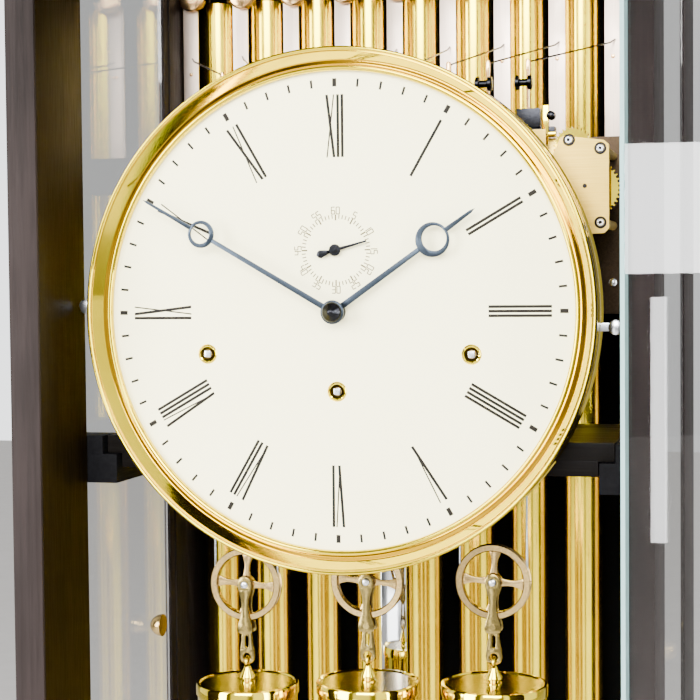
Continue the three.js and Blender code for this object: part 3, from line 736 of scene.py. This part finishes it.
def make_hands():
    minute = ring_hand("minute_hand_blade", 300, 141.4, 97.3, 8.5, 6.1, 0.6, 3.6, 2.6, 1.5, -9.6, -8.6, 7.3)
    fit(minute, BLUED, "minute_train", "blued_steel", "minute_hand")
    hour = ring_hand("hour_hand_blade", 55, 107, 75.3, 10.5, 7.6, 1.3, 3.8, 3.0, 1.8, -6.1, -5.1, 6.6)
    pipe = turned("hour_hand_pipe", [(2.7, -5), (4.4, -5), (4.4, 40), (2.7, 40)], DIAL, "Y", 32)
    fit(join("hour_hand_whole", [hour, pipe]), BLUED, "hour_work", "blued_steel", "hour_hand")

    nut = [(0, -15.6), (1.0, -15.5), (2.0, -15.0), (2.6, -14.2), (5.2, -12.6), (6.1, -11.6), (6.3, -10.9),
           (6.1, -10.0), (0, -10.0)]
    fit(turned("hand_nut_cap", nut, DIAL, "Y", 48), BLACK_STEEL, "minute_train", "black_steel", "hand_nut")

    low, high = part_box("escape_wheel")
    centre = Vector((0, DIAL.y, (low.z + high.z) / 2))
    blade = [(-1.1, -5), (1.1, -5), (0.9, 4), (0.55, 20.6), (-0.55, 20.6), (-0.9, 4)]
    tail = [(-0.8, -3), (-2.0, -7.4), (-2.5, -9.4), (-1.8, -11.0)]
    spade = tail + [(0, -12.0)] + [(-x, z) for x, z in reversed(tail)]
    hub = [(0, -3.9), (1.2, -3.8), (1.6, -3.3), (3.5, -3.2), (3.7, -2.8), (3.5, -2.2), (0, -2.2)]
    parts = [
        flat("seconds_blade", [blade], -3.1, -2.3, centre, 0.12, 75),
        flat("seconds_spade", [spade], -3.1, -2.3, centre, 0.12, 75),
        turned("seconds_boss", hub, centre, "Y", 40),
    ]
    fit(join("seconds_hand", parts), BLACK_STEEL, "seconds_train", "black_steel", "second_hand")


def make_selectors():
    for body in ("chime_selector", "strike_silence"):
        node = body + "_lever"
        low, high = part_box(node)
        side = 1 if high.x > 0 else -1
        reach = high.x - 4.5 * MM if side > 0 else low.x + 4.5 * MM
        z = (low.z + high.z) / 2
        inner = side * 95 * MM
        ends = sorted((inner, reach))
        span = ((ends[0], low.y + 0.5 * MM, z - 2.4 * MM), (ends[1], high.y - 0.5 * MM, z + 2.4 * MM))
        arm = boxes(node + "_bar", [span], 0.3)
        tip = turned(node + "_tip", [(0, -1.5), (3.6, -1.4), (4.5, -0.8), (4.5, 0.8), (3.6, 1.4), (0, 1.5)],
                     Vector((reach, (low.y + high.y) / 2, z)), "Y", 40)
        fit(join(node + "_arm", [arm, tip]), STEEL, body, "bright_steel", node)


# ---- Movement -----------------------------------------------------------------------


def make_movement():
    for node in ("front_plate", "chime_side_plate"):
        coat(node, PLATE)
    for node in ("center_wheel", "escape_wheel", "chime_drive_gear", "chime_idler_gear"):
        coat(node, BRASS)
    coat("pallet_anchor", STEEL)
    coat("chime_pin_drum", ROSE)

    for side in SIDES:
        spot = middle("winding_drum_" + side)
        centre = Vector((spot.x, DIAL.y, spot.z))
        profile = [(0, 1), (2.6, 1), (2.8, 1.4), (2.8, 53.8), (8, 54), (26, 54), (26, 57), (21.6, 57)]
        for groove in range(12):
            start = 58 + groove * 2.8
            profile += [(21.4, start), (20.8, start + 1.4)]
        profile += [(21.6, 91), (26, 91), (26, 94), (8, 94), (2.8, 94.4), (2.8, 117), (0, 117)]
        fit(turned("grooved_drum_" + side, profile, centre, "Y", 64), ROSE, "winding_drum_" + side,
            "satin_brass", "winding_drum_" + side)
        square = (centre + Vector((-2, -0.6, -2)) * MM, centre + Vector((2, 1.5, 2)) * MM)
        arbor = boxes("winding_square_" + side, [square], 0.5)
        fit(arbor, STEEL, "winding_drum_" + side, "bright_steel")

    face = SIDE_PLATE_FACE
    head = [(1.0, face - 1.0), (1.1, face - 1.9), (1.9, face - 1.9), (2.3, face - 1.5),
            (2.3, face), (1.0, face)]
    # Painted shade: recess is a black disc filling each screw head's hollow, and pivot is a black disc on the
    # plate's face. Both stand in for the shade inside those holes. ring is a black washer round each head.
    recess = [(0, face), (0, face - 1.2), (0.9, face - 1.2), (0.9, face)]
    ring = [(2.5, face), (2.5, face - 0.6), (3.5, face - 0.6), (3.8, face)]
    pivot = [(0, face), (0, face - 0.2), (1.3, face - 0.2), (1.4, face)]
    heads = bmesh.new()
    washer_and_hole_shade_mesh = bmesh.new()
    for x, z in SIDE_PLATE_SCREWS:
        add_turned(heads, head, at(x, 0, z), "Y", 32)
        add_turned(washer_and_hole_shade_mesh, recess, at(x, 0, z), "Y", 24)
        add_turned(washer_and_hole_shade_mesh, ring, at(x, 0, z), "Y", 32)
    add_turned(washer_and_hole_shade_mesh, pivot, at(SIDE_PLATE_PIVOT[0], 0, SIDE_PLATE_PIVOT[1]), "Y", 24)
    fit(from_bmesh("side_plate_screws", heads), STEEL, "case", "bright_steel")
    # Black washers, plus black discs that are painted shade in the screw holes and the pivot hole.
    fit(from_bmesh("side_plate_washers_and_hole_shade", washer_and_hole_shade_mesh), BLACK_STEEL, "case", "black_steel")

    low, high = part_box("back_plate")
    back = at(0, BACK_PLATE_Y, 0).y
    edge = 122 * MM
    spans = [((-edge, back, low.z), (edge, back + 3 * MM, at(0, 0, 112).z)),
             ((-8 * MM, back + 1 * MM, at(0, 0, 64).z), (8 * MM, high.y, at(0, 0, 72).z))]
    fit(boxes("rear_movement_plate", spans, 0.2), PLATE, "case", "plate_brass", "back_plate")
    # The ear's dark brown colour is painted shade, not a different metal.
    ear = [((edge - 1 * MM, back + 0.1 * MM, at(0, 0, EAR["bottom"]).z),
            (EAR["right"] * MM, back + 2.9 * MM, at(0, 0, EAR["top"]).z))]
    fit(boxes("side_bracket", ear, 0.2), SHADED_EAR_BRASS, "case", "satin_brass")
    bolt = [(0, 115), (1.8, 115.1), (2.6, 115.8), (2.8, 118), (0, 118)]
    bolt_place = at(EAR_BOLT[0], 0, EAR_BOLT[1])
    fit(turned("side_bracket_bolt", bolt, bolt_place, "Y", 32), STEEL, "case", "bright_steel")
    posts = bmesh.new()
    screws = bmesh.new()
    screw = [(0, 121.2), (3.6, 121.2), (3.6, 124), (2.4, 124.6), (0, 124.8)]
    for x, z in PILLARS:
        add_turned(posts, [(0, 53.3), (4, 53.3), (4, 119), (0, 119)], at(x, 0, z), "Y", 32)
        add_turned(screws, screw, at(x, 0, z), "Y", 24)
    fit(from_bmesh("movement_pillars", posts), BRASS, "case", "polished_brass")
    fit(from_bmesh("pillar_screws", screws), STEEL, "case", "bright_steel")


# ---- Weights, pulleys and lines -----------------------------------------------------


def make_weights():
    for side in SIDES:
        low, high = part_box("weight_" + side)
        x = (low.x + high.x) / 2
        y = (low.y + high.y) / 2
        r = (high.x - low.x) / 2 / MM
        top = (high.z - 11.5 * MM - DIAL.z) / MM
        bottom = (low.z - DIAL.z) / MM + 10
        centre = Vector((x, y, DIAL.z))
        profile = [
            (0, bottom - 10), (3, bottom - 10), (3.6, bottom - 8), (3.6, bottom - 5), (6, bottom - 4),
            (6, bottom - 0.6), (r - 4, bottom), (r - 2, bottom + 0.6), (r - 0.3, bottom + 2.2),
            (r, bottom + 3), (r, bottom + 9.5), (r - 1.0, bottom + 10.5), (r - 1.0, top - 7.6),
            (r, top - 7.0), (r, top - 0.9), (r - 0.5, top),
            (r - 2.0, top + 0.1), (r - 2.6, top - 0.8), (12, top - 1.0), (5.2, top - 1.0), (5.0, top + 0.2),
            (4.2, top + 0.6), (4.2, top + 2.4), (5.5, top + 3.0), (5.3, top + 4.2), (2.5, top + 9.0),
            (2.2, top + 10.2), (1.6, top + 11.2), (0, top + 11.5),
        ]
        shell = turned("weight_shell_" + side, profile, centre, "Z", 96)
        fit(shell, BRASS, "weight_" + side, "polished_brass", "weight_" + side)

        eye = Vector((x, y, high.z + 1.6 * MM))
        cap = [(4.9, top - 0.8), (r - 3.0, top - 0.7), (r - 3.0, top - 1.6), (4.9, top - 1.6)]
        disc = turned("weight_cap_" + side, cap, centre, "Z", 96)
        fit(disc, CAP_BRASS, "weight_" + side, "polished_brass")
        angles = [TURN * i / 28 for i in range(29)]
        loop = [eye + Vector((0, 2.9 * math.cos(a), 3.2 * math.sin(a))) * MM for a in angles]
        fit(tube_along("weight_eye_" + side, loop, 1.1, 12), BRASS, "weight_" + side, "polished_brass")


def make_pulleys():
    for side in SIDES:
        spot = middle("pulley_" + side)
        half = [(20.8, 0.6), (24.0, 1.9), (24.4, 2.4), (23.8, 3.0), (20.4, 2.9), (19.8, 2.2)]
        rim = [(radius, -depth) for radius, depth in reversed(half)] + half
        hub = [(3, -2.6), (5.4, -2.6), (5.8, -2.0), (5.8, 2.0), (5.4, 2.6), (3, 2.6)]
        parts = [turned("rim_" + side, rim, spot, "Y", 96)]
        flank = []
        for step in range(9):
            t = step / 8
            flare = (1 - math.sin(math.pi * min(t * 1.15, 1))) * (0.5 + t * 0.5)
            flank.append((1.7 + 1.9 * flare, 4.2 + t * 16.2))
        spoke = flank + [(-width, radius) for width, radius in reversed(flank)]
        for quarter in range(4):
            parts.append(flat(f"spoke_{side}_{quarter}", [spoke], -1.2, 1.2, spot, 0.25, quarter * 90 + 4))
        parts.append(turned("hub_" + side, hub, spot, "Y", 40))
        fit(join("pulley_wheel_" + side, parts), ROSE, "pulley_" + side, "satin_brass", "pulley_" + side)


def make_straps():
    crown = [(-2.6, 4.6), (0, 5.6), (2.6, 4.6)]
    flank = [(4.6, 2.0), (5.2, -1.0), (4.2, -5.0), (2.7, -10), (2.3, -15), (2.9, -21), (4.9, -27),
             (5.5, -30.4), (4.6, -32.4), (2.6, -33.2)]
    outline = crown + flank + [(-x, z) for x, z in reversed(flank)]
    hook = [(3.0, -30.5), (3.7, -38), (5.0, -45), (5.4, -49.4), (4.3, -52.6), (1.7, -54.2)]
    plate = hook + [(-x, z) for x, z in reversed(hook)]
    slot = [(-1.2, -42.6), (-1.2, -35.6), (0, -34.6), (1.2, -35.6), (1.2, -42.6), (0, -43.6)]
    for side in SIDES:
        spot = middle("pulley_" + side)
        parts = []
        for y0, y1 in ((-4.8, -3.5), (3.5, 4.8)):
            parts.append(flat(f"cheek_{side}_{y0}", [outline, circle(2.4, 0, 0, 32)], y0, y1, spot, 0.25))
        parts.append(flat(f"hook_{side}", [plate, slot, circle(2.7, 0, -49.4, 32)], -1.2, 1.2, spot, 0.25))
        pin = [(0, -5.4), (2.0, -5.4), (2.0, 5.4), (0, 5.4)]
        parts.append(turned("pin_" + side, pin, spot + Vector((0, 0, -29)) * MM, "Y", 24))
        straps = join("strap_pair_" + side, parts)
        fit(straps, OLIVE, "weight_" + side, "satin_brass", "pulley_strap_" + side)
        axle = [(0, -6.3), (1.6, -6.2), (2.3, -5.7), (2.3, 5.7), (1.6, 6.2), (0, 6.3)]
        fit(turned("pulley_axle_" + side, axle, spot, "Y", 32), STEEL, "weight_" + side, "bright_steel")


def make_lines():
    """Wire line: down from the drum, round the pulley and up to the seatboard."""
    reach = 21.8 * MM
    for side in SIDES:
        spot = middle("pulley_" + side)
        drum = middle("winding_drum_" + side)
        seat_low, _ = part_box("seatboard")
        left = spot.x - reach
        right = spot.x + reach
        points = []
        for step in range(40):
            points.append(Vector((left, spot.y, drum.z + (spot.z - drum.z) * step / 40)))
        for step in range(33):
            angle = math.pi + math.pi * step / 32
            away = Vector((math.cos(angle), 0, math.sin(angle)))
            points.append(spot + reach * away)
        for step in range(1, 25):
            points.append(Vector((right, spot.y, spot.z + (seat_low.z - spot.z) * step / 24)))
        line = tube_along("wire_line_" + side, points, 0.75, 12)
        line.data.materials.append(STEEL)
        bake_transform(line)
        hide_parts("cable_" + side)


# ---- Pendulum -----------------------------------------------------------------------


def make_pendulum():
    low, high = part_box("pendulum_rod")
    bob_low, bob_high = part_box("pendulum_bob")
    y = (low.y + high.y) / 2
    slot = PENDULUM_SLOT["half"] * MM
    slot_low = at(0, 0, PENDULUM_SLOT["bottom"]).z
    slot_high = at(0, 0, PENDULUM_SLOT["top"]).z
    below = slot_low - 1 * MM
    above = slot_high + 1 * MM
    spans = [
        (low, (high.x, high.y, slot_low)),
        ((low.x, low.y, slot_high), high),
        ((low.x, low.y, below), (-slot, high.y, above)),
        ((slot, low.y, below), (high.x, high.y, above)),
    ]
    rod = boxes("pendulum_bar", spans, 0.3)
    fit(rod, MIRROR, "pendulum", "mirror_steel", "pendulum_rod")
    centre = Vector((0, y, (bob_low.z + bob_high.z) / 2))
    r = (bob_high.x - bob_low.x) / 2 / MM
    front = [(0, -15), (20, -14.6), (45, -12.9), (70, -9.6), (88, -5.9), (97, -3.2), (101, -2.6),
             (103.6, -2.4)]
    back = [(103.6, 2.4), (97, 3.2), (80, 6), (60, 8), (12, 9.4), (12, 3.2), (0, 3.2)]
    profile = front + [(r, -1.4), (r, 1.4)] + back
    lens = turned("pendulum_lens", profile, centre, "Y", 160, 30)
    fit(lens, BRASS, "pendulum", "polished_brass", "pendulum_bob")
    bottom = Vector((0, y, low.z + 20 * MM))
    nut = [(0, 0), (8, 0), (9.5, 1), (9.5, 7), (8, 8), (0, 8)]
    fit(turned("rating_nut", nut, bottom, "Z", 40), BRASS, "pendulum", "polished_brass")
    strip = ((-4 * MM, y - 0.3 * MM, high.z - 2 * MM), (4 * MM, y + 0.3 * MM, at(0, 0, SPRING_TOP).z))
    fit(boxes("suspension_spring", [strip], 0.1), STEEL, "case", "bright_steel")


# ---- Chime --------------------------------------------------------------------------


def make_tubes():
    for n in TUBES:
        node = f"chime_tube_{n}"
        low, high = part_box(node)
        centre = Vector(((low.x + high.x) / 2, (low.y + high.y) / 2, 0))
        r = (high.x - low.x) / 2 / MM
        top = high.z / MM
        bottom = low.z / MM
        profile = [
            (0, top), (r - 4, top), (r - 3.4, top - 0.6), (r - 2.2, top - 0.8), (r - 1.4, top),
            (r - 0.6, top), (r, top - 0.7), (r, bottom + 0.5), (r - 0.4, bottom), (r - 1.6, bottom),
            (r - 2, bottom + 0.5), (r - 2, top - 3), (0, top - 3),
        ]
        tube = turned("bell_tube_" + str(n), profile, centre, "Z", 72)
        fit(tube, TUBE_BRASS, "case", "polished_brass", node)

    coat("tube_rack", BLACK)
    beam_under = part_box("tube_rack")[1].z - 12 * MM
    cords = []
    for n in TUBES:
        low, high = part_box(f"chime_tube_{n}")
        x = (low.x + high.x) / 2
        y = (low.y + high.y) / 2
        for offset in (-8, 8):
            start = Vector((x + offset * MM, y, high.z - 1 * MM))
            end = Vector((x + offset * 0.5 * MM, y, beam_under + 1 * MM))
            cords.append(tube_along(f"cord_{n}_{offset}", [start, end], 0.7, 8))
    fit(join("tube_cords", cords), LEATHER, "case", "black_lacquer")


def make_hammers():
    pegs = bmesh.new()
    bobbins = bmesh.new()
    flange = [(0, -1.5), (4.0, -1.5), (4.8, -1.0), (4.8, 1.0), (4.0, 1.5), (0, 1.5)]
    for n in TUBES:
        node = f"hammer_{n}"
        low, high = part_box(node)
        bar_x = at((n - MIDDLE_TUBE) * HAMMER["pitch"] + HAMMER["shift"], 0, 0).x
        y = at(0, HAMMER["y"], 0).y
        head = Vector((bar_x + 3 * MM, y, at(0, 0, HAMMER["head"]).z))
        span = ((bar_x - 6 * MM, y - 1 * MM, low.z), (bar_x + 6 * MM, y + 1 * MM, high.z + 0.3 * MM))
        strip = boxes(node + "_plain_bar", [span], 0.35)
        hub = Vector((bar_x, y, at(0, 0, HAMMER["pivot"]).z))
        pivot = turned(node + "_pivot", [(0, -6), (4, -6), (4, 6), (0, 6)], hub, "X", 24)
        fit(join(node + "_bar", [strip, pivot]), ALUMINIUM, node, "brushed_aluminium", node)
        disc = [(0, -9.0), (3.2, -9.0), (3.4, -8.6), (8.6, -8.6), (10.0, -7.8), (10.5, -6.8), (10.5, -1.6),
                (10.0, -1.0), (0, -1.0)]
        fit(turned(node + "_head", disc, head, "Y", 56), HEAD, node, "satin_brass")
        felt = [(0, 1.0), (7.5, 1.0), (7.5, 1.5), (6.5, 1.7), (0, 1.7)]
        fit(turned(node + "_pad", felt, head, "Y", 40), LEATHER, node, "satin_brass")

        peg = at((n - MIDDLE_TUBE) * PEG["pitch"] + PEG["shift"], LIFTER_Y, 0)
        top = at(0, 0, PEG["top"]).z
        anchor = Vector((bar_x + 1.5 * MM, y - 1.6 * MM, at(0, 0, HAMMER["wire"]).z))
        start = Vector((peg.x, peg.y, top - 2 * MM))
        bend = anchor + (start - anchor) * 0.06 + Vector((0, 0, -1.4 * MM))
        route = [anchor + Vector((0, 1.4 * MM, 0)), anchor, bend, start]
        wire = tube_along(node + "_wire", route, 0.6, 8)
        wire.data.materials.append(BLACK_STEEL)
        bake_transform(wire)
        stud = [(0, -1.9), (1.0, -1.8), (1.5, -1.0), (0, -1.0)]
        spot = Vector((bar_x, y, at(0, 0, HAMMER["rivet"]).z))
        fit(turned(node + "_rivet", stud, spot, "Y", 20), HEAD, node, "satin_brass")

        base = Vector((peg.x, peg.y, at(0, 0, PEG["foot"]).z))
        height = (top - base.z) / MM
        post = [(0, 0), (1.3, 0), (1.3, height - 9), (1.7, height - 7), (1.7, height - 2),
                (1.2, height), (0, height)]
        add_turned(pegs, post, base, "Z", 24)
        bobbin = base + Vector((0, -2.2, PEG["bobbin"])) * MM
        for offset in (-6.8, 1.4):
            add_turned(bobbins, flange, bobbin + Vector((offset, 0, 0)) * MM, "X", 28)
        add_turned(bobbins, [(0, -8), (2.4, -8), (2.4, 2), (0, 2)], bobbin, "X", 20)
    fit(from_bmesh("lifting_pegs", pegs), HEAD, "case", "satin_brass")
    fit(from_bmesh("wire_bobbins", bobbins), BLACK_STEEL, "case", "black_steel")
    rod = turned("lifter_bar", [(0, -124), (3, -124), (3, 92), (0, 92)], at(0, LIFTER_Y, 114.5), "X", 24)
    fit(rod, STEEL, "case", "bright_steel")
    block = [(at(94.5, 106, 118.5), at(110, 116, 131)), (at(94.5, 109, 112.4), at(119, 119, 119))]
    fit(boxes("lifter_block", block, 0.3), BLACK_STEEL, "case", "black_steel")
    post = [(at(111, 106, 107), at(115.4, 110, 132.5)), (at(104, 107, 112.6), at(120, 111, 115))]
    fit(boxes("lifter_post", post, 0.3), BRASS, "case", "polished_brass")
    shape = bmesh.new()
    screw = [(0, 100.5), (2.0, 100.6), (2.9, 101.4), (2.9, 106.5), (0, 106.5)]
    for x, z in LIFTER_SCREWS:
        add_turned(shape, screw, at(x, 0, z), "Y", 28)
    fit(from_bmesh("lifter_screws", shape), BLACK_STEEL, "case", "black_steel")


# ---- Light and surroundings ---------------------------------------------------------


def area_light(name, place, aim, size, power, colour=(1, 1, 1)):
    data = bpy.data.lights.new(name, "AREA")
    data.shape = "RECTANGLE"
    data.size, data.size_y = size
    data.energy = power
    data.color = colour
    lamp = show(name, data)
    lamp.location = place
    lamp.rotation_euler = (Vector(aim) - Vector(place)).to_track_quat("-Z", "Y").to_euler()


# Brightness of the room round the clock: shares of a full turn from the front, by way of the left.
ROOM = (
    (0.00, 1.6), (0.045, 1.6), (0.06, 0.15), (0.08, 0.15), (0.095, 1.8), (0.130, 1.8),
    (0.140, 0.05), (0.215, 0.05), (0.230, 1.5), (0.300, 1.8), (0.320, 0.3), (0.500, 0.8),
    (0.680, 0.5), (0.700, 1.9), (0.790, 1.9), (0.810, 0.1), (0.845, 0.1), (0.860, 2.2),
    (0.910, 2.2), (0.920, 0.3), (0.940, 0.3), (0.960, 1.6),
)
SEEN_BACKGROUND = (2.4, 2.45, 2.5, 1)                    # the even backdrop that the camera sees


def make_surroundings():
    shape = bmesh.new()
    bmesh.ops.create_grid(shape, x_segments=1, y_segments=1, size=15)
    floor = from_bmesh("floor", shape)
    floor.location.z = -0.5 * MM
    floor.data.materials.append(painted("floor_paint", (0.60, 0.58, 0.56), (0.56, 0.54, 0.52), 0.6))

    world = bpy.data.worlds.new("studio")
    bpy.context.scene.world = world
    world.use_nodes = True
    tree = world.node_tree
    link = tree.links.new
    background = tree.nodes["Background"]
    where = tree.nodes.new("ShaderNodeTexCoord")
    split = tree.nodes.new("ShaderNodeSeparateXYZ")
    link(where.outputs["Generated"], split.inputs[0])
    heading = tree.nodes.new("ShaderNodeMath")
    heading.operation = "ARCTAN2"
    link(split.outputs["X"], heading.inputs[0])
    link(split.outputs["Y"], heading.inputs[1])
    share = tree.nodes.new("ShaderNodeMath")
    share.operation = "MULTIPLY_ADD"
    link(heading.outputs[0], share.inputs[0])
    share.inputs[1].default_value = 1 / TURN
    share.inputs[2].default_value = 0.5
    ramp = tree.nodes.new("ShaderNodeValToRGB")
    elements = ramp.color_ramp.elements
    while len(elements) < len(ROOM):
        elements.new(0.5)
    for element, (place, level) in zip(elements, ROOM):
        element.position = place
        element.color = (level, level, level, 1)
    link(share.outputs[0], ramp.inputs["Fac"])
    path = tree.nodes.new("ShaderNodeLightPath")
    mix = tree.nodes.new("ShaderNodeMix")
    mix.data_type = "RGBA"
    link(path.outputs["Is Camera Ray"], mix.inputs["Factor"])
    link(ramp.outputs["Color"], mix.inputs[6])
    mix.inputs[7].default_value = SEEN_BACKGROUND
    link(mix.outputs[2], background.inputs["Color"])

    area_light("window_left", (-2.40, -2.62, 2.2), (0, 0, 1.5), (1.6, 2.6), 420)
    area_light("window_right", (3.0, -1.6, 2.0), (0, 0, 1.5), (1.0, 2.4), 240)
    area_light("soft_front", (0.4, -3.4, 3.0), (0, 0, 1.5), (2.4, 1.6), 380)
    area_light("far_window", (-2.86, -1.66, 1.82), (0.2, -0.19, 1.82), (0.30, 0.33), 14)
    area_light("low_card", (-0.78, -3.0, 0.74), (0, 0.01, 1.1), (0.5, 0.9), 8)
    area_light("far_doorway", (-2.87, -1.647, 1.28), (0.2, -0.19, 1.28), (0.04, 0.63), 2.4)


make_camera()
make_case()
make_door()
make_dial()
make_bezel()
make_hands()
make_selectors()
make_movement()
make_weights()
make_pulleys()
make_straps()
make_lines()
make_pendulum()
make_tubes()
make_hammers()
make_surroundings()
